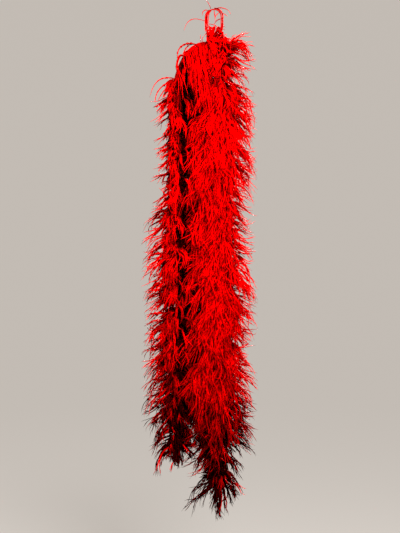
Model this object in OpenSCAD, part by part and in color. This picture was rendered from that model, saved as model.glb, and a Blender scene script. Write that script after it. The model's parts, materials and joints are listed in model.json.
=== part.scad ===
// Ostrich feather boa, folded in two over a cord loop and hanging from it.
// Millimetres, +Z up, +X towards the longer tail. The origin is the inner top of the hanging loop.

/* [Hanging loop] */
// Thickness of the loop's cord
loop_cord_d = 2.6; // [2:0.1:3]
// Inner width of the hanging loop
loop_w = 26; // [22:1:30]
// Diameter of the whipped ball that ties the loop to the core
knot_d = 13; // [12:0.5:13.5]

/* [Core cord] */
// Diameter of the twisted core cord
core_d = 5; // [4:0.2:5.6]
// Thickness of the binding thread
thread_d = 0.8; // [0.5:0.1:1]

/* [Tails] */
// Distance of the left tail's core from the origin
left_x = 74; // [73:1:76]
// Distance of the right tail's core from the origin
right_x = 15; // [14:1:16]
// Length of one bending stretch of the left tail
left_pitch = 180; // [170:1:190]
// Length of one bending stretch of the right tail
right_pitch = 198; // [190:1:204]

/* [Plumes] */
// Reach of the barbs from the core on the left tail, the thinner one
left_plume_r = 60; // [50:1:62]
// Reach of the barbs from the core on the right tail, the fuller one
right_plume_r = 62; // [52:1:64]
// Reach of the barbs from the core on the fold
fold_plume_r = 42; // [36:1:42]
// Thickness of the layer that the barbs fill on the left tail and on the fold
left_wall = 5; // [4.5:0.5:6]
// Thickness of the layer that the barbs fill on the right tail
right_wall = 8; // [7:0.5:9]

/* [End loops] */
// Length of the small cord loop at each end
end_loop_h = 24; // [23:0.5:26]

/* [Hidden] */
stretches = 4;                // bending stretches in a tail
strips = 3;                   // feather strips on one stretch
tails = ["left", "right"];
function two_digits(n) = str(n < 10 ? "0" : "", n);
$fn = 48;

// Places
knot = [-12, 0, -68];          // centre of the whipped ball, and of both swings of the whole boa
tail_top = -160;              // height of the first bend of both tails
mid_x = (right_x - left_x) / 2;
mid_gap = 1.5;                // gap between the two tails where their barbs meet
joint_gap = 1;                // half of the gap in the core at a bend

// Feather strips
first_strip = 12;             // clear room under a bend, so that a stretch can swing
last_gap = 4;                 // clear room above the next bend
strip_gap = 3;                // room between two strips on the core
quill_r = 9;                  // radius of the wound quill at a strip's top
quill_gap = 0.1;              // room between a quill or thread and the core
shoulder_gap = 0.9;           // the same on the shoulder, where the core curves
fold_strip_z = -101;          // top of the upright strip on the fold
fold_end_z = -157;            // thread that closes the fold's last strip
skirt_steps = 5;              // straight steps in a skirt's curve
bulge = 0.14;                 // how far a skirt bulges out of a straight cone

// Core, thread and cords
core_r = core_d / 2;
cord_r = loop_cord_d / 2;
sides = 8;
running_gap = 0.3;            // room round the core in the whipped ball
turns = 3;                    // turns of thread at a strip's top
turn_pitch = 1.5 * thread_d;
sleeve_wall = 1.6;
sleeve_l = 16;

feather_red = [0.80, 0.02, 0.03];
cord_red = [0.72, 0.03, 0.04];
thread_red = [0.50, 0.02, 0.03];

// Route of the hanging loop: up from the ball on the left, over the top, and down on the right
arch_r = loop_w / 2 + cord_r;
arch = [for (a = [180:-20:0]) [arch_r * cos(a), 0, arch_r * sin(a) - loop_w / 2]];
loop_route = concat(
    [[-14, 0, -61], [-14, 0, -54], [-14, 0, -45], [-14, 0, -35], [-arch_r, 0, -24]],
    arch,
    [[arch_r, 0, -24], [14, 0, -34], [11, 0, -43], [3, 0, -51], [-5, 0, -56], [-10, 0, -61]]
);

// Route of the core over the fold, from the right tail's top to the left tail's top
fold_route = [
    [right_x, 0, tail_top + joint_gap], [right_x, 0, -138], [right_x, 0, -116], [right_x, 0, -96],
    [14, 0, -85], [10, 0, -75], [4, 0, -70], [-4, 0, -68], [-12, 0, -68], [-20, 0, -68], [-30, 0, -71],
    [-42, 0, -79], [-53, 0, -91], [-62, 0, -107], [-70, 0, -128], [-73, 0, -140], [-left_x, 0, -150],
    [-left_x, 0, tail_top + joint_gap]
];

// Route of an end loop under its sleeve
end_w = 5;
end_route = [
    [-3, 0, 0], [-3, 0, -5], [-end_w, 0, -11], [-end_w, 0, -17], [-3, 0, -22], [0, 0, -end_loop_h],
    [3, 0, -22], [end_w, 0, -17], [end_w, 0, -11], [3, 0, -5], [3, 0, 0]
];

function unit(v) = v / norm(v);
function heading(path, i) = unit(path[min(i + 1, len(path) - 1)] - path[max(i - 1, 0)]);
// Points round point i of a route that lies in the XZ plane
function ring(path, i, r) =
    let (t = heading(path, i), side = cross(t, [0, 1, 0]))
    [for (a = [0:360 / sides:359]) path[i] + r * (cos(a) * side + sin(a) * [0, 1, 0])];
// The same route with a point added between each two, on a smooth curve through them
function smooth_mid(p, i) = (9 * (p[i] + p[i + 1]) - p[max(i - 1, 0)] - p[min(i + 2, len(p) - 1)]) / 16;
function refined(p) = concat(
    [for (i = [0:len(p) - 2], half = [0, 1]) half == 0 ? p[i] : smooth_mid(p, i)],
    [p[len(p) - 1]]
);

// Which tail: -1 is left, 1 is right
function side_of(tail) = tail == "left" ? -1 : 1;
function pitch_of(side) = side < 0 ? left_pitch : right_pitch;
function x_of(side) = side < 0 ? -left_x : right_x;
function reach_of(side) = side < 0 ? left_plume_r : right_plume_r;
function wall_of(side) = side < 0 ? left_wall : right_wall;
function bend_z(side, n) = tail_top - n * pitch_of(side);
// Height of the top of strip k, counted from 0, on a stretch that starts at bend n
function strip_step(side) = (pitch_of(side) - first_strip - last_gap) / strips;
function strip_top(side, n, k) = bend_z(side, n) - first_strip - k * strip_step(side);

// A cord of radius r swept along a route
module cord(path, r) {
    n = len(path);
    rings = [for (i = [0:n - 1], p = ring(path, i, r)) p];
    skin = [for (i = [0:n - 2], k = [0:sides - 1])
        let (a = i * sides + k, b = i * sides + (k + 1) % sides) [a, b, b + sides, a + sides]];
    first = [for (k = [sides - 1:-1:0]) k];
    last = [for (k = [0:sides - 1]) (n - 1) * sides + k];
    polyhedron(points = rings, faces = concat(skin, [first, last]), convexity = 4);
}

// A hollow skirt of barbs that hangs round the Z axis from the quill at its top
module skirt(r, h, wall, gap = quill_gap) {
    bore_r = core_r + gap;
    steps = [for (i = [0:skirt_steps]) i / skirt_steps];
    outer = [for (s = steps) [quill_r + (r - quill_r) * (s + bulge * sin(180 * s)), -h * s]];
    inner = [for (s = steps) [bore_r + (r - wall - bore_r) * (s + bulge * sin(180 * s)), -h * s - (1 - s) * wall]];
    rotate_extrude()
        polygon(concat([[bore_r, 0]], outer, [for (i = [skirt_steps:-1:0]) inner[i]]));
}

// Turns of binding thread round the core, just above z = 0
module thread_turns() {
    for (turn = [1:turns])
        translate([0, 0, turn * turn_pitch])
            rotate_extrude()
                translate([core_r + quill_gap + thread_d / 2, 0])
                    circle(d = thread_d, $fn = 16);
}

module hanging_loop() {
    color(cord_red) cord(refined(loop_route), cord_r);
}

// The ball turns about the core in its bore, and swings about Y under the loop
module loop_whipping() {
    color(thread_red)
        translate(knot)
            difference() {
                sphere(d = knot_d);
                rotate([0, 90, 0]) cylinder(h = 2 * knot_d, r = core_r + running_gap, center = true);
            }
}

module core_fold() {
    color(cord_red) cord(refined(fold_route), core_r);
}

module thread_fold() {
    color(thread_red) {
        translate([right_x, 0, fold_strip_z]) thread_turns();
        translate([-left_x, 0, fold_end_z]) thread_turns();
    }
}

// Upright plume on the right of the fold
module plume_fold_1() {
    color(feather_red) translate([right_x, 0, fold_strip_z]) skirt(fold_plume_r, 56, right_wall);
}

// Plumes on the shoulder of the fold, leaning with the core
module plume_fold_2() {
    color(feather_red)
        translate([-43, 0, -80]) rotate([0, 43, 0]) skirt(fold_plume_r - 8, 28, left_wall, shoulder_gap);
}

module plume_fold_3() {
    color(feather_red)
        translate([-64, 0, -112]) rotate([0, 21, 0]) skirt(fold_plume_r - 4, 38, left_wall, shoulder_gap);
}

// Core of one stretch of a tail, between bends n - 1 and n
module core(side, n) {
    color(cord_red)
        translate([x_of(side), 0, bend_z(side, n) + joint_gap])
            cylinder(h = pitch_of(side) - 2 * joint_gap, r = core_r);
}

// Binding thread over each strip's quill on one stretch of a tail
module thread(side, n) {
    color(thread_red)
        for (k = [0:strips - 1])
            translate([x_of(side), 0, strip_top(side, n - 1, k)]) thread_turns();
}

// Plume n of a tail, cut flat where it meets the other tail
module plume(side, n) {
    top = strip_top(side, floor((n - 1) / strips), (n - 1) % strips);
    h = strip_step(side) - strip_gap;
    reach = reach_of(side);
    color(feather_red)
        difference() {
            translate([x_of(side), 0, top]) skirt(reach, h, wall_of(side));
            translate([mid_x + side * (mid_gap / 2 - reach), 0, top])
                cube([2 * reach, 3 * reach, 3 * h], center = true);
        }
}

// Whipped sleeve over the end of the core, with a bore for it
module end_whipping(side) {
    end = bend_z(side, stretches) + joint_gap;
    color(thread_red)
        translate([x_of(side), 0, end])
            difference() {
                cylinder(h = sleeve_l, r = core_r + sleeve_wall, center = true);
                cylinder(h = sleeve_l, r = core_r + quill_gap);
            }
}

module end_loop(side) {
    bottom = bend_z(side, stretches) + joint_gap - sleeve_l / 2 - quill_gap;
    color(cord_red) translate([x_of(side), 0, bottom]) cord(refined(end_route), cord_r);
}

hanging_loop();
loop_whipping();
core_fold();
thread_fold();
plume_fold_1();
plume_fold_2();
plume_fold_3();
for (tail = tails) {
    for (n = [1:stretches]) {
        core(side_of(tail), n);
        thread(side_of(tail), n);
    }
    for (n = [1:stretches * strips]) {
        plume(side_of(tail), n);
    }
    end_whipping(side_of(tail));
    end_loop(side_of(tail));
}
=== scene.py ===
"""Red ostrich feather boa, folded in two and hanging from a cord loop."""

import json
import math
from functools import partial

import bpy
import mathutils
import numpy as np
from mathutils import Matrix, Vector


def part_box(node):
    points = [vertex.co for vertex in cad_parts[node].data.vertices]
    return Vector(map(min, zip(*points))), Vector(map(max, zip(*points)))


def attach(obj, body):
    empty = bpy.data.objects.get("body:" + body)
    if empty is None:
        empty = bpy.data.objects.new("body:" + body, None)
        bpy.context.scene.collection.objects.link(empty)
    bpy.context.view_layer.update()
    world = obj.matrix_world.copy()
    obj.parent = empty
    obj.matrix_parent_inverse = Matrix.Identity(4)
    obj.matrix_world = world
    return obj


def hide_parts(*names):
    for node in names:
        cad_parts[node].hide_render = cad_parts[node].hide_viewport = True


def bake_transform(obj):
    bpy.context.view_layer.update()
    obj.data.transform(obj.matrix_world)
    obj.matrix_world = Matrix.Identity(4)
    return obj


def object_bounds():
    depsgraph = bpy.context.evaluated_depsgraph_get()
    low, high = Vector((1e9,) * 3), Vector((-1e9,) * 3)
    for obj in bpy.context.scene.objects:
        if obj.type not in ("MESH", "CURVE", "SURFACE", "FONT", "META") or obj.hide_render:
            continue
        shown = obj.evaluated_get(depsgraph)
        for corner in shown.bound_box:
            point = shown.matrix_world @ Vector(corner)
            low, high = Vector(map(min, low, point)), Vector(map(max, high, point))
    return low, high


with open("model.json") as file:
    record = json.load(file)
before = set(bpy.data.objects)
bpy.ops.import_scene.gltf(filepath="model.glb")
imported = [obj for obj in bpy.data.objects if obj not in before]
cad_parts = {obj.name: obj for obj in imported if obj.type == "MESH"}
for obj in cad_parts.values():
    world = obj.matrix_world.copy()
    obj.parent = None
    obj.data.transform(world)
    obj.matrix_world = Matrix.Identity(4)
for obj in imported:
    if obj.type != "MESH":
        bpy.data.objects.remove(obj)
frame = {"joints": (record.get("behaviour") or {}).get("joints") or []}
cad_low, cad_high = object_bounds()

SCENE = bpy.context.scene
UP = np.array([0.0, 0.0, 1.0])
DOWN = -UP

# ------------------------------------------------------------------ the frame's own places
JOINTS = {j["name"]: j for j in frame["joints"]}
KNOT = np.array(JOINTS["side_swing"]["pos_m"], float)
TAILS = ("left", "right")
OUT = {"left": -1, "right": 1}   # the way that each tail's outer side faces along X
STRETCHES = 4             # stretches of core on a tail, each a body of its own
STRIPS = 3                # feather strips on a stretch


def bend_at(tail, n):
    """Place of the bend above stretch n of a tail."""
    return np.array(JOINTS[f"{tail}_{n}_bend"]["pos_m"], float)


def stretch_length(tail):
    """Length of the core from one bend of a tail to the next."""
    return float(bend_at(tail, 1)[2] - bend_at(tail, 2)[2])


def thickness(node):
    """How thick a node is from front to back."""
    low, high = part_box(node)
    return float(high[1] - low[1])


CORE_D = thickness("core_left_1")
CORD_D = thickness("hanging_loop")
CORE_R = CORE_D / 2


# ------------------------------------------------------------------ camera
def make_camera():
    """Level view along +Y that takes in the whole hanging boa."""
    view_height = 1.066   # metres from the picture's foot to its head, at the boa
    aim = (-0.028, 0.0, -0.513)
    lens = 85.0           # millimetres, like the sensor's longer side
    long_side = 36.0
    distance = view_height / 2 / (long_side / 2 / lens)
    data = bpy.data.cameras.new("camera")
    data.lens = lens
    data.sensor_width = long_side
    camera = bpy.data.objects.new("camera", data)
    SCENE.collection.objects.link(camera)
    camera.location = (aim[0], aim[1] - distance, aim[2])
    camera.rotation_euler = (math.radians(90), 0, 0)
    SCENE.camera = camera


# ------------------------------------------------------------------ mesh helpers
def mesh_object(name, verts, faces_flat, loop_totals):
    """A smooth mesh object from arrays: points, the faces' corners in one row, and how many each face has."""
    mesh = bpy.data.meshes.new(name)
    mesh.vertices.add(len(verts))
    mesh.vertices.foreach_set("co", np.ascontiguousarray(verts, np.float32).ravel())
    mesh.loops.add(len(faces_flat))
    mesh.loops.foreach_set("vertex_index", np.ascontiguousarray(faces_flat, np.int32))
    starts = np.concatenate([[0], np.cumsum(loop_totals)[:-1]]).astype(np.int32)
    mesh.polygons.add(len(loop_totals))
    mesh.polygons.foreach_set("loop_start", starts)
    mesh.polygons.foreach_set("use_smooth", np.ones(len(loop_totals), bool))
    mesh.update(calc_edges=True)
    mesh.validate()
    obj = bpy.data.objects.new(name, mesh)
    SCENE.collection.objects.link(obj)
    return obj


def unit(v):
    """Vectors brought to a length of 1."""
    return v / np.maximum(np.linalg.norm(v, axis=-1, keepdims=True), 1e-12)


def tubes(points, across, half_width, height):
    """Closed three-sided tubes along many lines at once.
    points is (n, rings, 3), across (n, 3) is the flat direction, half_width and height are (n, rings).
    The last ring is a single point. Returns vertices, triangles and the number of vertices of a tube."""
    n, rings = points.shape[:2]
    along = unit(np.gradient(points, axis=1))
    flat = unit(across[:, None, :] - (across[:, None, :] * along).sum(-1, keepdims=True) * along)
    top = np.cross(along, flat)
    corners = np.stack(
        [
            points - flat * half_width[..., None],
            points + flat * half_width[..., None],
            points + top * height[..., None],
        ],
        axis=2,
    )
    body = corners[:, :-1].reshape(n, -1, 3)
    tip = points[:, -1:, :]
    verts = np.concatenate([body, tip], axis=1)
    per = verts.shape[1]
    ring = np.arange(rings - 2)[:, None] * 3
    k = np.arange(3)[None, :]
    a, b = ring + k, ring + (k + 1) % 3
    walls = np.stack([a, b, b + 3, a, b + 3, a + 3], -1).reshape(-1, 3)
    last = (rings - 2) * 3
    cap = np.array([[last, last + 1, per - 1], [last + 1, last + 2, per - 1], [last + 2, last, per - 1]])
    base = np.array([[2, 1, 0]])
    one = np.concatenate([walls, cap, base])
    tris = (one[None] + (np.arange(n) * per)[:, None, None]).reshape(-1, 3)
    return verts.reshape(-1, 3), tris, per


def swept(path, radius, sides):
    """One round tube of equal radius along a path, as vertices and quads plus its two end faces."""
    along = unit(np.gradient(path, axis=0))
    start = np.array([0.0, 1.0, 0.0]) if abs(along[0][1]) < 0.9 else np.array([1.0, 0.0, 0.0])
    normals = []
    normal = unit(start - along[0] * (start @ along[0]))
    for t in along:
        normal = unit(normal - t * (normal @ t))
        normals.append(normal)
    normals = np.array(normals)
    other = np.cross(along, normals)
    angle = np.arange(sides) * 2 * math.pi / sides
    ring = normals[:, None] * np.cos(angle)[None, :, None] + other[:, None] * np.sin(angle)[None, :, None]
    verts = (path[:, None] + radius * ring).reshape(-1, 3)
    i = np.arange(len(path) - 1)[:, None] * sides
    k = np.arange(sides)[None, :]
    a, b = i + k, i + (k + 1) % sides
    quads = np.stack([a, b, b + sides, a + sides], -1).reshape(-1, 4)
    ends = [list(range(sides))[::-1], [(len(path) - 1) * sides + j for j in range(sides)]]
    return verts, quads, ends


class Builder:
    """Gathers tubes into one mesh."""

    def __init__(self):
        self.verts, self.corners, self.totals, self.count = [], [], [], 0

    def add(self, verts, quads, ends):
        self.verts.append(verts)
        self.corners.append((quads + self.count).ravel())
        self.totals.append(np.full(len(quads), 4))
        for end in ends:
            self.corners.append(np.asarray(end) + self.count)
            self.totals.append(np.array([len(end)]))
        self.count += len(verts)

    def make(self, name):
        return mesh_object(
            name, np.concatenate(self.verts), np.concatenate(self.corners), np.concatenate(self.totals)
        )


CURVE_STEPS = 24          # points worked out between two given ones, before they are spaced evenly


def smooth_path(points, spacing):
    """Points about a spacing apart on a smooth curve (Catmull-Rom) through the given ones."""
    p = np.asarray(points, float)
    p = np.concatenate([[2 * p[0] - p[1]], p, [2 * p[-1] - p[-2]]])
    fine = []
    for a, b, c, d in zip(p[:-3], p[1:-2], p[2:-1], p[3:], strict=True):
        square = 2 * a - 5 * b + 4 * c - d
        cube = 3 * b - a - 3 * c + d
        for t in np.linspace(0, 1, CURVE_STEPS, endpoint=False):
            fine.append(0.5 * (2 * b + (c - a) * t + square * t**2 + cube * t**3))
    fine = np.array([*fine, p[-2]])
    run = np.concatenate([[0], np.cumsum(np.linalg.norm(np.diff(fine, axis=0), axis=1))])
    count = max(int(run[-1] / spacing) + 1, 4)
    at = np.linspace(0, run[-1], count)
    return np.stack([np.interp(at, run, fine[:, k]) for k in range(3)], axis=1)


def path_length(path):
    return float(np.linalg.norm(np.diff(path, axis=0), axis=1).sum())


CORD_STRANDS = 3
CORD_LAY = 2.6            # length of a strand's turn, in diameters of the cord
STRAND_SHARE = 0.27       # radius of a strand, against the diameter of the cord
STRAND_SIDES = 7


def twisted_cord(name, path, diameter):
    """A twisted cord: round strands that wind about a path."""
    along = unit(np.gradient(path, axis=0))
    run = np.concatenate([[0], np.cumsum(np.linalg.norm(np.diff(path, axis=0), axis=1))])
    normal = unit(np.cross(along, [0.0, 1.0, 0.0]) + 1e-9)
    other = np.cross(along, normal)
    strand_r = diameter * STRAND_SHARE
    reach = diameter / 2 - strand_r
    built = Builder()
    for s in range(CORD_STRANDS):
        turn = 2 * math.pi * (run / (CORD_LAY * diameter) + s / CORD_STRANDS)
        line = path + reach * (normal * np.cos(turn)[:, None] + other * np.sin(turn)[:, None])
        built.add(*swept(line, strand_r, STRAND_SIDES))
    return built.make(name)


# ------------------------------------------------------------------ materials
def new_material(name):
    """A new material with its nodes, its links and its shader."""
    material = bpy.data.materials.new(name)
    material.use_nodes = True
    tree = material.node_tree
    return material, tree.nodes, tree.links, tree.nodes["Principled BSDF"]


def noise_node(nodes, links, scale, detail):
    """Noise that stays fixed on the object."""
    coords = nodes.new("ShaderNodeTexCoord")
    noise = nodes.new("ShaderNodeTexNoise")
    noise.inputs["Scale"].default_value = scale
    noise.inputs["Detail"].default_value = detail
    links.new(coords.outputs["Object"], noise.inputs["Vector"])
    return noise


def ramp_node(nodes, first, last, *between):
    """A colour ramp. Each stop is a place from 0 to 1 and the colour there."""
    ramp = nodes.new("ShaderNodeValToRGB")
    elements = ramp.color_ramp.elements
    for element, (place, color) in zip(elements, (first, last), strict=True):
        element.position = place
        element.color = (*color, 1)
    for place, color in between:
        elements.new(place).color = (*color, 1)
    return ramp


def feather_material():
    """Red-dyed ostrich barbs, uneven from lock to lock, with painted shade in their tone: deep red at the
    quill, clear red towards the tips.
    """
    material, nodes, links, shader = new_material("feather")
    tone = nodes.new("ShaderNodeAttribute")
    tone.attribute_name = "tone"
    noise = noise_node(nodes, links, 38.0, 3.0)
    patches = nodes.new("ShaderNodeMath")
    patches.operation = "MULTIPLY_ADD"
    patches.inputs[1].default_value = 0.9
    patches.inputs[2].default_value = -0.46
    add = nodes.new("ShaderNodeMath")
    add.operation = "ADD"
    add.use_clamp = True
    ramp = ramp_node(
        nodes, (0.0, (0.014, 0.0, 0.0)), (1.0, (1.0, 0.0, 0.0)), (0.45, (0.48, 0.0, 0.0)),
    )
    links.new(noise.outputs["Fac"], patches.inputs[0])
    links.new(tone.outputs["Fac"], add.inputs[0])
    links.new(patches.outputs[0], add.inputs[1])
    links.new(add.outputs[0], ramp.inputs["Fac"])
    links.new(ramp.outputs["Color"], shader.inputs["Base Color"])
    shader.inputs["Roughness"].default_value = 0.62
    shader.inputs["Specular IOR Level"].default_value = 0.03
    shader.inputs["Specular Tint"].default_value = (1.0, 0.0, 0.0, 1)
    shader.inputs["Sheen Weight"].default_value = 0.15
    shader.inputs["Sheen Roughness"].default_value = 0.4
    shader.inputs["Sheen Tint"].default_value = (1.0, 0.0, 0.0, 1)
    return material


def fibre_material(name, dark, light, scale):
    """Twisted cotton or thread: fine fibres, lighter and darker by turns."""
    material, nodes, links, shader = new_material(name)
    noise = noise_node(nodes, links, scale, 4.0)
    ramp = ramp_node(nodes, (0.35, dark), (0.68, light))
    bump = nodes.new("ShaderNodeBump")
    bump.inputs["Strength"].default_value = 0.35
    bump.inputs["Distance"].default_value = 0.0003
    links.new(noise.outputs["Fac"], ramp.inputs["Fac"])
    links.new(ramp.outputs["Color"], shader.inputs["Base Color"])
    links.new(noise.outputs["Fac"], bump.inputs["Height"])
    links.new(bump.outputs["Normal"], shader.inputs["Normal"])
    shader.inputs["Roughness"].default_value = 0.8
    shader.inputs["Specular IOR Level"].default_value = 0.15
    return material


def stage_material():
    """Pale matt paper that glows a little, so that floor and wall look alike."""
    material, *_, shader = new_material("stage")
    shader.inputs["Base Color"].default_value = (0.30, 0.285, 0.27, 1)
    shader.inputs["Roughness"].default_value = 0.95
    shader.inputs["Specular IOR Level"].default_value = 0.0
    shader.inputs["Emission Color"].default_value = (0.60, 0.55, 0.50, 1)
    shader.inputs["Emission Strength"].default_value = 0.85
    return material


# ------------------------------------------------------------------ feathers
RINGS = 18                # rings along a barb; every second one is wide, as barbules stand out there
RING_STEP = 1.4           # from a narrow ring to the wide one after it, where a pair of rings takes up 2
PAIRED = np.arange(RINGS) // 2 * 2 + (np.arange(RINGS) % 2) * RING_STEP
PLACES = PAIRED / PAIRED[-1]   # where the rings lie, from 0 at the root to 1 at the tip
SHAFT = 0.0011            # half width of a barb between its barbules
BARBULE = 0.0019          # half width of a barb over its barbules
SHADED_ROOT_TONE, RISE, TIP_TONE = 0.02, 0.95, 0.85   # painted shade: a barb is drawn darker at its root, deep among the others, and lighter towards its tip
LOCK = 4                  # barbs that cling together in a lock
TRESS_PER_METRE = 95.0    # how fast the barbs' waves shift down the core, in radians
TRESS_ROUND = 1.5         # how far they shift round the core
TRESS_DEPTH = 2.6         # the widest shift there is
RIPPLES = 2.4             # small ripples on each wave
RIPPLE_SIZE = 0.4         # their size, against the wave's
HOOK_FROM = 0.4           # a barb's tip starts to curl at this place along it
LENGTH_PER_REACH = 1.8    # a barb is this much longer than it reaches, as it sags and curls
ROOT_OUT = 1.1            # where a barb leaves the core, against the core's radius
ROOM_SHARE, ROOM_EXTRA = 0.03, 0.010   # room round the CAD model, as a share of its size and in metres
ROOM_MARGIN = 0.003       # the part of that room which stays empty
ROOM_USED = (0.72, 1.0)   # the share of the rest that a barb drawn into it takes up
# The valley between the tails. It runs down from VALLEY_TOP, and moves to the left on its way to its foot.
VALLEY_TOP, VALLEY_LENGTH = -0.105, 0.70
VALLEY_X = (-0.058, -0.070)
VALLEY_WIDTH = 0.009
VALLEY_SHADE = 1.1        # tone taken off in the middle of it
VALLEY_FRONT, FRONT_FADE = -0.030, 0.018   # where its shade starts, and how soon it is full behind that
VALLEY_BACK, BACK_FADE = 0.050, 0.020      # where its shade ends, and how soon it is full before that


def turned(vectors, axis, angle):
    """Vectors turned about unit axes by angles (Rodrigues' formula)."""
    cos, sin = np.cos(angle), np.sin(angle)
    along = (vectors * axis).sum(-1, keepdims=True)
    return vectors * cos + np.cross(axis, vectors) * sin + axis * along * (1 - cos)


def per_lock(rng, draw, n, own):
    """Random numbers for n barbs: draw gives those of a lock, and each barb has a little of its own."""
    lock = min(LOCK, n)
    drawn = np.repeat(draw(n // lock), lock, axis=0)
    return drawn + rng.normal(0, own, drawn.shape)


def tress_phase(rng, roots, outward):
    """Where in their wave the barbs start. It shifts slowly from root to root, so that neighbours lie
    together in wavy tresses."""
    angle = np.arctan2(outward[:, 0], -outward[:, 1])
    drift = TRESS_PER_METRE * roots[:, 2] + TRESS_ROUND * np.sin(angle)
    return TRESS_DEPTH * np.sin(drift[:, None, None] + rng.uniform(0, 2 * math.pi, 3))


def barb_lines(rng, roots, outward, length, lift, droop, curl, wave):
    """Lines of barbs. Each leaves its root outward, lifted a little, sags under its weight and curls at its
    tip. roots and outward are (n, 3); length, lift, droop and curl are (n,). Returns (n, RINGS, 3)."""
    n = len(roots)
    s = PLACES[None, :, None]
    side = unit(np.cross(UP, outward) + 1e-9)[:, None, :]
    first = (outward * np.cos(lift)[:, None] + UP * np.sin(lift)[:, None])[:, None, :]
    sag = np.clip(droop[:, None, None] * s**0.75, 0, 1)
    phase = tress_phase(rng, roots, outward) + per_lock(rng, lambda k: rng.normal(0, 0.7, (k, 1, 3)), n, 0.3)
    beat = per_lock(rng, lambda k: rng.uniform(0.9, 1.6, (k, 1, 3)), n, 0.04)
    sway = np.sin(2 * math.pi * beat * s + phase) * wave * (0.25 + s)
    ripple = np.sin(2 * math.pi * RIPPLES * beat[..., :1] * s + phase[..., 2:]) * RIPPLE_SIZE * wave
    heading = unit(
        first * (1 - sag) + DOWN * sag + side * (sway[..., :1] + ripple) + UP * sway[..., 1:2] * 0.6
    )
    tilt = per_lock(rng, lambda k: rng.normal(0, 0.7, (k, 1, 2)), n, 0.15)
    axis = unit(side + UP * tilt[..., :1] + outward[:, None, :] * tilt[..., 1:])
    hooked = np.clip((s - HOOK_FROM) / (1 - HOOK_FROM), 0, 1) ** 1.4
    heading = turned(heading, axis, curl[:, None, None] * hooked)
    step = np.diff(s, axis=1) * length[:, None, None]
    moved = np.cumsum((heading[:, :-1] + heading[:, 1:]) / 2 * step, axis=1)
    return roots[:, None, :] + np.concatenate([np.zeros((n, 1, 3)), moved], axis=1)


def gathered(rng, lines, hold):
    """Barbs of a lock drawn towards the lock's middle line, most of all half way along. hold is how far."""
    n = len(lines) // LOCK
    groups = lines.reshape(n, LOCK, RINGS, 3)
    middle = groups.mean(axis=1, keepdims=True)
    s = PLACES[None, None, :, None]
    pull = hold * np.sin(math.pi * np.clip(s * 1.1, 0, 1)) ** 0.8
    pull = pull * rng.uniform(0.4, 1.2, (n, 1, 1, 1))
    return (groups + (middle - groups) * np.clip(pull, 0, 0.95)).reshape(-1, RINGS, 3)


def inside_room(rng, lines):
    """Barbs that would leave the room round the CAD model, drawn in to uneven places inside it."""
    size = np.array(cad_high) - np.array(cad_low)
    spare = ROOM_SHARE * size + ROOM_EXTRA - ROOM_MARGIN
    root = lines[:, :1]
    offset = lines - root
    share = rng.uniform(*ROOM_USED, (len(lines), 1, 1))
    up_to = (np.array(cad_high) + spare - root) * share
    down_to = (root - np.array(cad_low) + spare) * share
    shrink_up = np.minimum(1, up_to / np.maximum(offset.max(axis=1, keepdims=True), 1e-6))
    shrink_down = np.minimum(1, down_to / np.maximum(-offset.min(axis=1, keepdims=True), 1e-6))
    return root + offset * np.where(offset > 0, shrink_up, shrink_down)


def barb_mesh(name, rng, lines, tone_base, width):
    """One mesh of all the barbs of a plume. Each is a toothed, tapering strand, drawn dark at its root and
    clear towards its tip as painted shade, and its tone is stored with it."""
    n = len(lines)
    s = PLACES[None, :]
    taper = np.clip(1.35 * (1 - s) ** 0.5, 0, 1) * np.clip(0.5 + 2.5 * s, 0, 1)
    wide = (np.arange(RINGS) % 2 == 1)[None, :]
    teeth = rng.uniform(0.55, 1.3, (n, RINGS)) * rng.uniform(0.75, 1.2, (n, 1))
    half = np.where(wide, BARBULE * teeth, SHAFT) * np.maximum(taper, 0.15) * width[:, None]
    height = np.full((n, RINGS), SHAFT) * np.maximum(taper, 0.3) * 1.3 * width[:, None]
    across = unit(rng.normal(size=(n, 3)))
    verts, tris, per = tubes(lines, across, half, height)
    obj = mesh_object(name, verts, tris.ravel(), np.full(len(tris), 3))
    along = np.concatenate([np.repeat(PLACES[:-1], 3), [1.0]])
    own = rng.normal(0, 0.09, (n, 1)) + tone_base[:, None]
    # painted shade: dark at the root, clear towards the tip, with each barb's own tone on top
    tone = SHADED_ROOT_TONE + RISE * along[None, :] ** 0.6 * (TIP_TONE + own)
    store_tone(obj, tone.ravel() - valley_shade(verts))
    add_uv(obj, n, per)
    return obj


def valley_shade(points):
    """How much darker barbs look deep in the valley between the two tails, where little light gets to."""
    x, y, z = points.T
    down = np.clip((VALLEY_TOP - z) / VALLEY_LENGTH, 0, 1)
    middle = VALLEY_X[0] + (VALLEY_X[1] - VALLEY_X[0]) * down
    behind = np.clip((y - VALLEY_FRONT) / FRONT_FADE, 0, 1)
    before = np.clip((VALLEY_BACK - y) / BACK_FADE, 0, 1)
    deep = behind * before
    return VALLEY_SHADE * np.exp(-(((x - middle) / VALLEY_WIDTH) ** 2)) * deep * (z < VALLEY_TOP)


def store_tone(obj, values):
    """Stores how light each vertex is, painted shade included, for the feather material."""
    attribute = obj.data.attributes.new("tone", "FLOAT", "POINT")
    attribute.data.foreach_set("value", np.clip(values, -0.4, 1.2).astype(np.float32))


def add_uv(obj, n, per):
    """UV map for the barbs: each has an upright strip of its own."""
    columns = math.ceil(math.sqrt(n * 3))
    rows = math.ceil(n / columns)
    index = np.zeros(len(obj.data.loops), np.int32)
    obj.data.loops.foreach_get("vertex_index", index)
    barb, local = index // per, index % per
    ring, corner = local // 3, local % 3
    u = (barb % columns + 0.15 + 0.35 * corner) / columns
    v = (barb // columns + 0.05 + 0.9 * ring / (RINGS - 1)) / rows
    layer = obj.data.uv_layers.new(name="OFBake")
    layer.data.foreach_set("uv", np.stack([u, v], 1).astype(np.float32).ravel())


def spread(rng, limits, locks, jitter):
    """A value for each barb: one drawn for its lock between the limits, with a little of its own."""
    return np.repeat(rng.uniform(*limits, locks), LOCK) + rng.normal(0, jitter, locks * LOCK)


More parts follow.
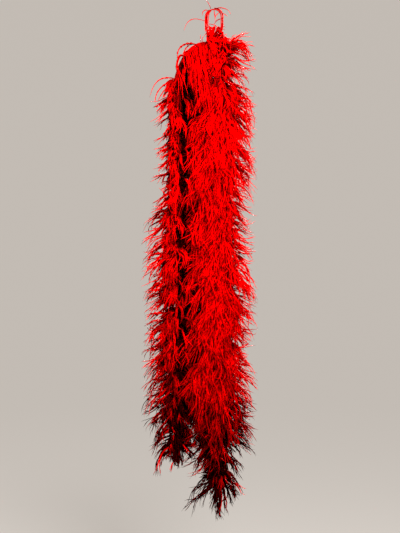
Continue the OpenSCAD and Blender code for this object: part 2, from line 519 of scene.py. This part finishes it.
def frame_on(spine, place):
    """Points on a spine at places from 0 to 1, with the front and right directions across it there."""
    along = unit(np.gradient(spine, axis=0))
    run = np.linspace(0, 1, len(spine))
    centre = np.stack([np.interp(place, run, spine[:, k]) for k in range(3)], -1)
    axis = unit(np.stack([np.interp(place, run, along[:, k]) for k in range(3)], -1))
    axis = axis * np.where(axis[..., 2:] > 0, -1, 1)
    front = unit(np.array([0.0, -1.0, 0.0]) + axis * axis[..., 1:2])
    return centre, front, np.cross(front, axis)


def wound(
    rng, spine, reach, locks, lift, droop, curl=(-1.2, 1.2), wave=0.3, hold=0.7,
    winding=(0.0, 1.0, 1.2), sizes=(0.55, 1.15), tone=0.0, width=1.0,
):
    """Barbs wound round a piece of the core. reach(outward) is how far they stand out in each direction.
    lift, droop, curl and sizes are limits, and each lock has its own value between them. winding is the
    direction at the top (0 is the front), the turns along the piece, and the scatter."""
    n = locks * LOCK
    at = rng.uniform(0, 1, locks)
    place = np.clip(np.repeat(at, LOCK) + rng.normal(0, 0.02, n), 0, 1)
    first, turns, scatter = winding
    angle = np.repeat(first + 2 * math.pi * turns * at + rng.normal(0, scatter, locks), LOCK)
    angle = angle + rng.normal(0, 0.12, n)
    centre, front, right = frame_on(spine, place)
    outward = front * np.cos(angle)[:, None] + right * np.sin(angle)[:, None]
    roots = centre + outward * CORE_R * ROOT_OUT
    length = reach(outward) * LENGTH_PER_REACH * spread(rng, sizes, locks, 0.08)
    lines = barb_lines(
        rng, roots, outward, length, spread(rng, lift, locks, 0.08), spread(rng, droop, locks, 0.05),
        spread(rng, curl, locks, 0.25), wave,
    )
    return gathered(rng, lines, hold), tone + np.repeat(rng.normal(0, 0.12, locks), LOCK), np.full(n, width)


def combed(rng, spine, locks, length, stand, tone, width, around=(-2.6, 2.6)):
    """Barbs combed down along the core. stand is how far they come to lie off it above and below, and
    around are the limits of their direction, where 0 is the front."""
    n = locks * LOCK
    total = path_length(spine)
    start = np.repeat(rng.uniform(-0.05, 0.8, locks), LOCK)
    size = spread(rng, length, locks, 0.006)
    place = start[:, None] + PLACES[None, :] * size[:, None] / total
    angle = spread(rng, around, locks, 0.15)[:, None] + PLACES[None, :] * rng.normal(0, 0.4, (n, 1))
    centre, front, right = frame_on(spine, np.clip(place, 0, 1))
    centre = centre + DOWN * np.maximum(place - 1, 0)[..., None] * total
    above, below = stand
    far = above + (below - above) * np.clip(np.sin(angle), 0, 1)
    away = CORE_R + far * PLACES[None, :] ** 0.7 * rng.uniform(0.4, 1.2, (n, 1))
    lines = centre + (front * np.cos(angle)[..., None] + right * np.sin(angle)[..., None]) * away[..., None]
    return lines, tone + np.repeat(rng.normal(0, 0.07, locks), LOCK), np.full(n, width)


LOOSE_WAVE = 0.15         # how wavy a barb on its own is


def single(rng, root, heading, length, droop, curl=0.0, width=0.7):
    """One loose barb on its own."""
    heading = unit(np.array(heading, float))
    flat = unit(np.array([[heading[0], heading[1], 0.0]]) + 1e-6)
    lift = np.array([math.asin(heading[2])])
    lines = barb_lines(
        rng, np.array([root], float), flat, np.array([length]), lift, np.array([droop]), np.array([curl]),
        LOOSE_WAVE,
    )
    return lines, np.zeros(1), np.array([width])


def joined(groups):
    """Several groups of barbs as one: their lines, tones and widths."""
    return tuple(np.concatenate(part) for part in zip(*groups, strict=True))


def plume(name, body, seed, groups):
    """One feather strip: a mesh of all its groups of barbs. Each group is a function of the generator."""
    rng = np.random.default_rng(seed)
    lines, tone, width = joined([group(rng) for group in groups])
    obj = barb_mesh(name, rng, inside_room(rng, lines), tone, width)
    obj.data.materials.append(FEATHER)
    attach(obj, body)
    return obj


# ------------------------------------------------------------------ build
make_camera()
FEATHER = feather_material()
CORD = fibre_material("cord_cotton", (0.22, 0.0, 0.0), (0.60, 0.0, 0.0), 900.0)
THREAD = fibre_material("whipping_thread", (0.20, 0.0, 0.0), (0.55, 0.004, 0.006), 1400.0)


# ------------------------------------------------------------------ cords
CORD_SPACING = 0.0008     # between the points of a loop cord's path
CORE_SPACING = 0.0012     # and of the core's
LOOP_ROUTE = [
    (-0.014, 0, -0.061), (-0.014, 0, -0.054), (-0.014, 0, -0.045), (-0.014, 0, -0.035), (-0.0143, 0, -0.024),
    (-0.0143, 0, -0.013), (-0.0124, 0, -0.0059), (-0.0072, 0, -0.0006), (0, 0, 0.0013), (0.0072, 0, -0.0006),
    (0.0124, 0, -0.0059), (0.0143, 0, -0.013), (0.0143, 0, -0.024), (0.014, 0, -0.034), (0.011, 0, -0.043),
    (0.003, 0, -0.051), (-0.005, 0, -0.056), (-0.010, 0, -0.061),
]
FOLD_ROUTE = [
    (0.015, 0, -0.160), (0.015, 0, -0.138), (0.015, 0, -0.116), (0.015, 0, -0.096), (0.014, 0, -0.085),
    (0.010, 0, -0.075), (0.004, 0, -0.070), (-0.004, 0, -0.068), (-0.012, 0, -0.068), (-0.020, 0, -0.068),
    (-0.030, 0, -0.071), (-0.042, 0, -0.079), (-0.053, 0, -0.091), (-0.062, 0, -0.107), (-0.070, 0, -0.128),
    (-0.073, 0, -0.140), (-0.074, 0, -0.150), (-0.074, 0, -0.160),
]
KNOT_POINT = 8            # the point of the fold's route that lies in the whipped ball
END_ROUTE = [
    (-0.003, 0, 0), (-0.003, 0, -0.005), (-0.005, 0, -0.011), (-0.005, 0, -0.017), (-0.003, 0, -0.022),
    (0, 0, -0.024), (0.003, 0, -0.022), (0.005, 0, -0.017), (0.005, 0, -0.011), (0.003, 0, -0.005),
    (0.003, 0, 0),
]


def make_hanging_loop():
    """The cord loop that the boa hangs from."""
    path = smooth_path(LOOP_ROUTE, CORD_SPACING)
    obj = twisted_cord("hanging_loop_cord", path, CORD_D)
    obj.data.materials.append(CORD)
    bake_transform(obj)
    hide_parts("hanging_loop")


def make_end_loops():
    """Small cord loops that close the two ends of the boa."""
    for tail in TAILS:
        low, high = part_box(f"end_whipping_{tail}")
        top = np.array([(low[0] + high[0]) / 2, (low[1] + high[1]) / 2, low[2]])
        path = smooth_path(np.array(END_ROUTE) + top, CORD_SPACING)
        obj = twisted_cord(f"end_loop_cord_{tail}", path, CORD_D)
        obj.data.materials.append(CORD)
        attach(obj, f"{tail}_{STRETCHES}")
        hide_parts(f"end_loop_{tail}")


def core_points(tail, n):
    """The core's line past bend n of a tail, from the middle of the stretch above to that of the one below.
    The first bend's line starts in the whipped ball, and the last one's runs to the end of the core."""
    half = stretch_length(tail) / 2
    bend = bend_at(tail, n)
    if n == 1:
        above = FOLD_ROUTE[KNOT_POINT::-1] if tail == "right" else FOLD_ROUTE[KNOT_POINT:]
    else:
        above = [bend - DOWN * half, bend]
    below = half if n < STRETCHES else 2 * half
    return smooth_path([*above, bend + DOWN * below / 2, bend + DOWN * below], CORE_SPACING)


def make_core():
    """The twisted core cord, in eight pieces that each run across one joint and meet inside a stretch."""
    for tail in TAILS:
        for n in range(1, STRETCHES + 1):
            path = core_points(tail, n)
            obj = twisted_cord(f"core_cord_{tail}_{n}", path, CORE_D)
            obj.data.materials.append(CORD)
            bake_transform(obj)
            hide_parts(f"core_{tail}_{n}")
            if n == 1 and tail == "left":
                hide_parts("core_fold")


# ------------------------------------------------------------------ thread
THREAD_D = 0.0008
THREAD_SIDES = 6
BINDING_TURNS = 6
BINDING_BELOW = 0.010     # from the top of a stretch down to its first binding
BALL_LAYERS, BALL_TURNS = 3, 13
BALL_GAP = 0.0006         # from the core to the thread at the ends of the whipped ball
SLEEVE_LAYERS = 2
POINTS_PER_TURN = 20


def coil(centre, axis, radius, pitch, turns, profile=None):
    """Points of a winding round an axis. profile(t) scales the radius along it."""
    axis = unit(np.asarray(axis, float))
    across = unit(np.cross(axis, [0.0, 1.0, 0.0]))
    other = np.cross(axis, across)
    t = np.linspace(0, 1, int(turns * POINTS_PER_TURN) + 1)
    size = radius * (np.ones_like(t) if profile is None else profile(t))
    a = 2 * math.pi * turns * t
    along = (t - 0.5) * turns * pitch
    return (
        np.asarray(centre, float)
        + across * (size * np.cos(a))[:, None]
        + other * (size * np.sin(a))[:, None]
        + axis * along[:, None]
    )


def make_binding_threads():
    """Thread wound over the quill at the top of every strip."""
    places = {"fold": [FOLD_ROUTE[3], FOLD_ROUTE[-2]]}
    for tail in TAILS:
        for n in range(1, STRETCHES + 1):
            step = stretch_length(tail) / STRIPS
            first = bend_at(tail, n) + DOWN * BINDING_BELOW
            places[f"{tail}_{n}"] = [first + DOWN * step * k for k in range(STRIPS)]
    for body, centres in places.items():
        built = Builder()
        for centre in centres:
            line = coil(centre, UP, CORE_R + THREAD_D, THREAD_D * 1.1, BINDING_TURNS)
            built.add(*swept(line, THREAD_D / 2, THREAD_SIDES))
        obj = built.make(f"binding_thread_{body}")
        obj.data.materials.append(THREAD)
        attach(obj, body)
        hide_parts(f"thread_{body}")


def make_whipped_ball():
    """Thread wound into a ball round the core, where the hanging loop is tied on."""
    low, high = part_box("loop_whipping")
    radius = float(high[2] - low[2]) / 2
    built = Builder()
    bore = CORE_R + BALL_GAP
    for layer in range(BALL_LAYERS):
        size = radius - THREAD_D / 2 - layer * THREAD_D * 0.8

        def ball(t, size=size):
            return np.maximum(np.sqrt(np.maximum(1 - (2 * t - 1) ** 2, 0)), bore / size)

        tilt = (1, 0, 0.05 * (layer - 1))
        line = coil(KNOT, tilt, size, 2 * size * 0.93 / BALL_TURNS, BALL_TURNS, ball)
        built.add(*swept(line, THREAD_D / 2, THREAD_SIDES))
    obj = built.make("whipped_ball")
    obj.data.materials.append(THREAD)
    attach(obj, "knot")
    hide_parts("loop_whipping")


def make_end_whippings():
    """Thread wound into a sleeve over each end of the core."""
    for tail in TAILS:
        low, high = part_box(f"end_whipping_{tail}")
        centre = (np.array(low) + np.array(high)) / 2
        radius = float(high[0] - low[0]) / 2
        length = float(high[2] - low[2])
        built = Builder()
        for layer in range(SLEEVE_LAYERS):
            size = radius - THREAD_D / 2 - layer * THREAD_D * 0.9
            line = coil(centre, (0, 0.02 * layer, 1), size, THREAD_D, length / THREAD_D)
            built.add(*swept(line, THREAD_D / 2, THREAD_SIDES))
        obj = built.make(f"whipped_sleeve_{tail}")
        obj.data.materials.append(THREAD)
        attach(obj, f"{tail}_{STRETCHES}")
        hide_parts(f"end_whipping_{tail}")


# ------------------------------------------------------------------ plumes
SEEDS = {"left": 100, "right": 200, "fold": 300, "loop": 400}
# How far the barbs reach outward on each plume of a tail, from the top down, against the tail's own reach
OUTER = {
    "left": [0.36, 0.30, 0.30, 0.44, 0.76, 0.92, 0.84, 0.80, 0.92, 1.12, 0.98, 0.66],
    "right": [0.92, 0.90, 0.72, 0.52, 0.54, 0.98, 0.86, 0.54, 0.76, 0.88, 0.56, 0.34],
}
# Reach to the outside, the inside, the front and the back, in metres, of the outer and the inner layer
REACH = {"left": (0.030, 0.006, 0.020, 0.046), "right": (0.024, 0.058, 0.056, 0.046)}
UNDER_REACH = {"left": (0.025, 0.006, 0.014, 0.034), "right": (0.015, 0.040, 0.032, 0.034)}
OVER_LOCKS = {"left": 88, "right": 128}
UNDER_LOCKS = {"left": 60, "right": 80}
# painted shade: the inner layer and the filling behind are drawn darker, as shade falls on them under the
# outer layer
UNDER_SHADE = -0.28
FILL_REACH = 0.054
FILL_LOCKS = 40
FILL_SHADE = -0.60
FILL_ANGLE = 2.2          # towards the back, on the side of the other tail
FRINGE_REACH = {"left": 0.052, "right": 0.054}
FRINGE_LOCKS = {"left": 13, "right": 18}
FRINGE_CURL = {"left": (-0.9, 0.6), "right": (-1.2, 0.8)}
FRINGE_HOLD = {"left": 0.75, "right": 0.45}
VEIL_REACH = {"left": 0.040, "right": 0.060}
VEIL_LOCKS = {"left": 20, "right": 55}
VEIL_ANGLE = {"left": -0.6, "right": -0.3}
BRIDGE_REACH = {"left": 0.024, "right": 0.044}   # thin barbs that fill the room between the tails' ends
BRIDGE_LOCKS = {"left": 26, "right": 38}
TUFT_REACH = {"left": 0.018, "right": 0.022}     # wiry tufts near the end
TUFT_LOCKS = 26
TIP_REACH = {"left": 0.021, "right": 0.038}      # and the last barbs, which hang past it
TIP_LOCKS = {"left": 30, "right": 18}
TIP_ANGLE = {"left": -0.2, "right": -1.1}
TURNS = 1.15              # turns of the strip round the core on one plume
FIRST_ANGLE = {"left": 1.0, "right": 0.4}
THIN_FROM = 9             # below this plume a tail thins out, by these shares on each plume:
NARROWING = 0.20          # its reach,
THINNING = {"left": 0.10, "right": 0.22}   # the number of its barbs,
WIRY = 0.12               # and their width
BASE_TONE = {"left": 0.0, "right": 0.05}
# painted shade: the tails are drawn darker towards their lower ends, where less light falls
SHADE_FROM = 6.5           # below this place, counted in plumes, a tail darkens
FALLOFF_SHADE = 0.07          # by this tone on each plume,
END_SHADE = {"left": 0.17, "right": 0.25}   # and by this one more where it thins out
UNEVEN = 0.06             # how far the tone differs from lock to lock,
END_UNEVEN = 0.18         # and how much further on each plume where the tail thins out


def reach_around(tail, sides, factor, narrow):
    """How far the barbs of one plume reach in each direction. sides are outside, inside, front and back."""
    outer, inner, front, back = sides

    def reach(direction):
        x, y = direction[:, 0] * OUT[tail], direction[:, 1]
        sideways = outer * factor * np.clip(x, 0, 1) ** 2 + inner * math.sqrt(narrow) * np.clip(-x, 0, 1) ** 2
        return sideways + narrow * (front * np.clip(-y, 0, 1) ** 3 + back * np.clip(y, 0, 1) ** 3)

    return reach


def veil_reach(tail, size, factor):
    """The reach of a veil: full to the front, and less to the outside on the narrow plumes."""
    less = 1 - 0.8 * factor
    return lambda direction: size * (1 - less * np.clip(direction[:, 0] * OUT[tail], 0, 1))


def even(size):
    """The same reach all round."""
    return lambda direction: np.full(len(direction), size)


def thinned(locks, tail, low):
    """The number of locks that is left where a tail thins out, low plumes below THIN_FROM."""
    return int(locks * (1 - THINNING[tail] * low))


def tail_cover(rng, tail, n, spine, low):
    """What each plume of a tail has: an outer layer, an inner one and a filling behind, both drawn darker as
    painted shade, a fringe at the outer side and a veil of long barbs down the front."""
    narrow = 1 - NARROWING * low
    wiry = 1 - WIRY * low
    factor = OUTER[tail][n - 1]
    first = FIRST_ANGLE[tail] + 2 * math.pi * TURNS * (n - 1)
    return [
        wound(
            rng, spine, reach_around(tail, REACH[tail], factor, narrow), thinned(OVER_LOCKS[tail], tail, low),
            lift=(-0.35, 0.5), droop=(0.60 + 0.10 * low, 1.0), winding=(first, TURNS, 1.2), hold=0.85,
            width=1.1 * wiry,
        ),
        wound(
            rng, spine, reach_around(tail, UNDER_REACH[tail], min(1, 1.3 * factor), narrow),
            thinned(UNDER_LOCKS[tail], tail, low),
            lift=(-0.3, 0.5), droop=(0.6, 1.0), sizes=(0.7, 1.2), hold=0.3, tone=UNDER_SHADE,
        ),
        wound(
            rng, spine, even(FILL_REACH * narrow), thinned(FILL_LOCKS, tail, low),
            lift=(-0.3, 0.2), droop=(0.5, 0.9), hold=0.3, winding=(-OUT[tail] * FILL_ANGLE, 0, 0.35),
            sizes=(0.7, 1.1), tone=FILL_SHADE, width=1.3,
        ),
        wound(
            rng, spine, even(FRINGE_REACH[tail] * (0.25 + 0.75 * factor)), FRINGE_LOCKS[tail],
            lift=(-0.45, 0.15), droop=(0.30 + 0.12 * low, 0.75 + 0.08 * low),
            winding=(OUT[tail] * math.pi / 2, 0, 0.45), curl=FRINGE_CURL[tail], wave=0.38,
            hold=FRINGE_HOLD[tail], sizes=(0.75, 1.25), tone=0.05, width=0.9,
        ),
        wound(
            rng, spine, veil_reach(tail, VEIL_REACH[tail] * narrow, factor),
            thinned(VEIL_LOCKS[tail], tail, low), lift=(-0.2, 0.4), droop=(0.85, 1.0), hold=0.8,
            winding=(VEIL_ANGLE[tail], 0, 0.75), curl=(-0.8, 0.8), wave=0.26, sizes=(0.7, 1.2), tone=0.05,
            width=wiry,
        ),
    ]


def tail_end(rng, tail, n, spine, low):
    """What only the lowest plumes of a tail have: thin barbs towards the other tail, wiry tufts and a tip."""
    groups = []
    if low > 0:
        groups.append(wound(
            rng, spine, even(BRIDGE_REACH[tail]), thinned(BRIDGE_LOCKS[tail], tail, low),
            lift=(-0.5, 0.2), droop=(0.45, 0.85), hold=0.85, wave=0.36,
            winding=(-OUT[tail] * math.pi / 2, 0, 0.45), sizes=(0.6, 1.2), tone=-0.10, width=0.8,
        ))
    if low > 1:
        groups.append(wound(
            rng, spine, even(TUFT_REACH[tail]), TUFT_LOCKS, lift=(-1.0, -0.2), droop=(0.85, 1.0), hold=0.8,
            wave=0.34, winding=(TIP_ANGLE[tail], 0, 1.5), sizes=(0.6, 1.3), tone=-0.15, width=0.9,
        ))
    if n == STRETCHES * STRIPS:
        end = spine[-1] + DOWN * np.linspace(-0.020, 0.004, 5)[:, None]
        groups.append(wound(
            rng, end, even(TIP_REACH[tail]), TIP_LOCKS[tail], lift=(-1.2, -0.9), droop=(0.60, 0.95),
            hold=0.8, winding=(TIP_ANGLE[tail], 0, 0.8), curl=(-0.6, 0.6), wave=0.30, sizes=(0.5, 1.3),
            tone=-0.05, width=0.8,
        ))
    return groups


def tail_barbs(rng, tail, n, spine):
    """All the barbs of plume n of a tail, drawn darker towards the tail's end as painted shade, and more
    uneven there.
    """
    low = max(n - THIN_FROM, 0)
    cover = tail_cover(rng, tail, n, spine, low)
    lines, tone, width = joined(cover + tail_end(rng, tail, n, spine, low))
    # painted shade: darker on the lower plumes
    dark = FALLOFF_SHADE * max(n - SHADE_FROM, 0) + END_SHADE[tail] * low
    uneven = np.repeat(rng.normal(0, UNEVEN + END_UNEVEN * low, len(tone) // LOCK), LOCK)
    return lines, tone + BASE_TONE[tail] - dark + uneven, width


def tail_plumes():
    """The twelve plumes of each tail, each on the body of its stretch."""
    for tail in TAILS:
        step = stretch_length(tail) / STRIPS
        for n in range(1, STRETCHES * STRIPS + 1):
            stretch = (n - 1) // STRIPS + 1
            top = bend_at(tail, stretch) + DOWN * step * ((n - 1) % STRIPS)
            spine = top + np.linspace(0, 1, 12)[:, None] * DOWN * step
            barbs = partial(tail_barbs, tail=tail, n=n, spine=spine)
            obj = plume(f"feathers_{tail}_{n:02d}", f"{tail}_{stretch}", SEEDS[tail] + n, [barbs])
            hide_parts(f"plume_{tail}_{n:02d}")


def right_groups(core):
    """Barbs of the fold's right side, where the core drops straight down: those all round it, the fringe at
    the outer side, the short ones at the top, and the fan of curly ones beside the loop."""

    def reach(direction):
        return 0.035 - 0.013 * np.clip(direction[:, 0], 0, 1)

    return [
        partial(
            wound, spine=core[2:], reach=reach, locks=190, lift=(-0.2, 0.5), droop=(0.55, 1.0),
            winding=(0, 2.2, 1.6), tone=-0.06,
        ),
        partial(
            wound, spine=core[5:], reach=even(0.045), locks=22, lift=(-0.25, 0.35), droop=(0.45, 0.85),
            winding=(math.pi / 2, 0, 0.5), curl=(-1.3, 0.8), wave=0.38, hold=0.5, sizes=(0.7, 1.2), width=0.9,
        ),
        partial(
            wound, spine=core[:5], reach=even(0.034), locks=70, lift=(-0.3, 0.8), droop=(0.85, 1.0),
            winding=(0, 1, 1.5), curl=(-0.4, 0.6), tone=-0.06,
        ),
        partial(
            wound, spine=core[6:11], reach=even(0.036), locks=9, lift=(0.25, 0.95), droop=(0.30, 0.65),
            winding=(math.pi / 2, 0, 0.5), curl=(-1.0, 0.8), wave=0.36, hold=0.35, sizes=(0.7, 1.1),
            width=0.9,
        ),
    ]


def shoulder_cover(core, half):
    """Barbs over the shoulder: those combed along it, those draped over it, the ones behind it, drawn dark as
    painted shade, the long locks that hang down in front, and the locks that cross the gap below."""
    return [
        partial(
            combed, spine=core, locks=70, length=(0.05, 0.09), stand=(0.004, 0.016), tone=-0.18, width=1.1,
            around=(-1.2, 1.8),
        ),
        partial(
            wound, spine=core[1:half - 1], reach=even(0.038), locks=40, lift=(-0.6, 0.0), droop=(0.95, 1.0),
            wave=0.14, hold=0.4, winding=(0.7, 0, 0.4), curl=(-0.3, 0.3), sizes=(0.5, 1.0), tone=-0.12,
        ),
        # painted shade: the barbs behind the shoulder are drawn dark
        partial(
            wound, spine=core[1:], reach=even(0.055), locks=75, lift=(-0.5, 0.1), droop=(0.85, 1.0),
            wave=0.2, hold=0.4, winding=(2.0, 0, 0.6), curl=(-0.4, 0.6), tone=-0.50,
        ),
        partial(
            wound, spine=core[1:half], reach=even(0.078), locks=34, lift=(-0.3, 0.2), droop=(0.94, 1.0),
            wave=0.20, hold=0.85, winding=(0.35, 0, 0.3), curl=(-0.4, 0.4), sizes=(0.6, 1.2), tone=0.05,
        ),
        partial(
            wound, spine=core[half - 3:half + 3], reach=even(0.044), locks=9, lift=(-0.3, 0.1),
            droop=(0.92, 1.0), wave=0.24, hold=0.85, winding=(0.6, 0, 0.5), curl=(-0.4, 0.4),
            sizes=(0.5, 1.2), tone=-0.05,
        ),
    ]


def shoulder_back(core):
    """Barbs behind the shoulder: combed along it, and draped down from it."""
    return [
        partial(
            combed, spine=core, locks=60, length=(0.05, 0.09), stand=(0.004, 0.012), tone=-0.05, width=1.1,
            around=(1.9, 4.4),
        ),
        partial(
            wound, spine=core[1:-4], reach=even(0.046), locks=60, lift=(-1.0, -0.35), droop=(0.85, 1.0),
            wave=0.18, hold=0.6, winding=(math.pi - 0.35, 0, 0.35), curl=(-0.6, 0.6), sizes=(0.6, 1.2),
            tone=-0.05,
        ),
    ]


def left_groups(core, half):
    """Barbs of the fold's left side, where the shoulder comes down to the tail."""
    return [
        partial(
            combed, spine=core[half - 2:], locks=50, length=(0.04, 0.07), stand=(0.004, 0.010), tone=-0.32,
            width=1.1, around=(-1.2, 1.4),
        ),
        partial(
            wound, spine=core[-6:], reach=even(0.019), locks=28, lift=(-0.3, 0.2), droop=(0.75, 1.0),
            winding=(-1.0, 0, 0.6), sizes=(0.6, 1.2),
        ),
        shoulder_strays,
    ]


def shoulder_strays(rng):
    """Single barbs that stand off the shoulder."""
    return joined([
        single(rng, (-0.026, -0.003, -0.066), (-0.1, -0.1, 1.0), 0.020, 0.0, -1.6),
        single(rng, (-0.024, -0.003, -0.066), (0.1, -0.1, 1.0), 0.014, 0.0, 1.0),
        single(rng, (-0.034, -0.004, -0.071), (-1, -0.1, 0.55), 0.066, 0.95, 0.3, 1.1),
        single(rng, (-0.031, -0.003, -0.070), (-1, 0.1, 0.35), 0.055, 0.95, 0.3, 1.1),
        single(rng, (-0.070, -0.004, -0.140), (-1, -0.2, 0.35), 0.085, 0.80, 0.2, 1.1),
        single(rng, (-0.071, -0.002, -0.145), (-1, -0.1, 0.20), 0.075, 0.85, 0.5, 1.1),
        single(rng, (-0.071, -0.002, -0.150), (-1, -0.3, 0.10), 0.060, 0.90, -0.5, 1.1),
    ])


def fold_plumes():
    """The three plumes over the fold: the right side, the shoulder and the left side."""
    route = smooth_path(FOLD_ROUTE, 0.004)
    middle = int(np.argmin(np.linalg.norm(route - KNOT, axis=1)))
    right = route[: middle + 1][::-1]
    shoulder = route[middle:]
    half = int(len(shoulder) * 0.5)
    obj = plume("feathers_fold_1", "fold", SEEDS["fold"] + 1, right_groups(right))
    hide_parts("plume_fold_1")
    shoulder_groups = shoulder_cover(shoulder, half) + shoulder_back(shoulder)
    obj = plume("feathers_fold_2", "fold", SEEDS["fold"] + 2, shoulder_groups)
    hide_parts("plume_fold_2")
    obj = plume("feathers_fold_3", "fold", SEEDS["fold"] + 3, left_groups(shoulder, half))
    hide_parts("plume_fold_3")


def loop_barbs(rng):
    """Single barbs caught in the hanging loop."""
    return joined([
        single(rng, (-0.0150, -0.001, -0.024), (-1, 0, 0.6), 0.062, 0.80),
        single(rng, (0.0020, -0.001, 0.002), (1, -0.1, 0.45), 0.040, 0.75),
        single(rng, (-0.0060, 0, 0.001), (-0.4, 0, 1.0), 0.024, 0.0, 1.2),
        single(rng, (-0.0100, -0.001, -0.002), (-0.6, -0.2, 0.4), 0.024, 0.98),
        single(rng, (0.0, -0.001, 0.001), (0.15, -0.3, -1), 0.026, 0.6),
        single(rng, (-0.0145, -0.001, -0.030), (1, -0.2, 0.4), 0.030, 0.75),
        single(rng, (0.0145, -0.001, -0.018), (-1, -0.2, -0.1), 0.022, 0.7, 0.5),
        single(rng, (0.0100, -0.001, -0.006), (0.9, -0.2, 0.1), 0.022, 0.7, -0.6),
        single(rng, (0.0120, -0.001, -0.004), (-1, -0.2, -0.6), 0.018, 0.6),
        single(rng, (-0.0145, -0.001, -0.036), (0.8, -0.3, 0.2), 0.024, 0.6),
    ])


def loop_strays():
    """The barbs caught in the hanging loop, and the fuzz on its two legs."""
    path = smooth_path(LOOP_ROUTE, 0.002)
    top = int(np.argmax(path[:, 2]))
    legs = (path[top:0:-1], path[top:-6])

    def fuzz(rng):
        return joined([combed(rng, leg, 7, (0.018, 0.034), (0.002, 0.002), 0.0, 0.6) for leg in legs])

    plume("stray_barbs_loop", "loop", SEEDS["loop"], [loop_barbs, fuzz])


make_hanging_loop()
make_end_loops()
make_core()
make_binding_threads()
make_whipped_ball()
make_end_whippings()
fold_plumes()
tail_plumes()
loop_strays()


# ------------------------------------------------------------------ stage and light
FLOOR_BELOW = 0.35        # from the boa's lower end down to the floor


def make_stage():
    """A wide pale bowl: a flat floor whose rim rises far away."""
    floor_z = float(cad_low[2]) - FLOOR_BELOW
    profile = [(0.001, 0), (2, 0), (5, 0), (6.5, 0.15), (8, 0.7), (9, 1.7), (9.6, 3.2), (9.8, 5.5)]
    around = 96
    verts, quads = [], []
    for r, h in profile:
        for k in range(around):
            a = 2 * math.pi * k / around
            verts.append((r * math.cos(a), r * math.sin(a), floor_z + h))
    for i in range(len(profile) - 1):
        for k in range(around):
            a, b = i * around + k, i * around + (k + 1) % around
            quads.append((a, b, b + around, a + around))
    obj = mesh_object("floor", np.array(verts), np.array(quads).ravel(), np.full(len(quads), 4))
    obj.data.materials.append(stage_material())
    obj.visible_diffuse = False
    obj.visible_glossy = False


def area_light(name, place, aim, size, power, beam=180):
    """A square light that faces its aim. Its power is in watts and its beam in degrees."""
    data = bpy.data.lights.new(name, "AREA")
    data.size = size
    data.energy = power
    data.spread = math.radians(beam)
    light = bpy.data.objects.new(name, data)
    SCENE.collection.objects.link(light)
    light.location = place
    direction = np.array(aim, float) - np.array(place, float)
    light.rotation_euler = mathutils.Vector(direction).to_track_quat("-Z", "Y").to_euler()


def make_light():
    """A key light before the boa, a weak fill light to its left, one behind it, and a faint even sky."""
    area_light("key", place=(0.25, -1.30, 0.62), aim=(0.0, 0.0, -0.18), size=0.35, power=71)
    area_light("fill", place=(-1.6, -2.2, 0.5), aim=(0.0, 0.0, -0.3), size=1.2, power=7)
    area_light("back", place=(0.3, 2.6, 0.5), aim=(0.0, 0.0, -0.45), size=1.2, power=20, beam=40)
    world = bpy.data.worlds.new("studio")
    SCENE.world = world
    world.use_nodes = True
    sky = world.node_tree.nodes["Background"]
    sky.inputs["Color"].default_value = (0.80, 0.77, 0.74, 1)
    sky.inputs["Strength"].default_value = 0.08


make_stage()
make_light()
SCENE.view_settings.view_transform = "Standard"
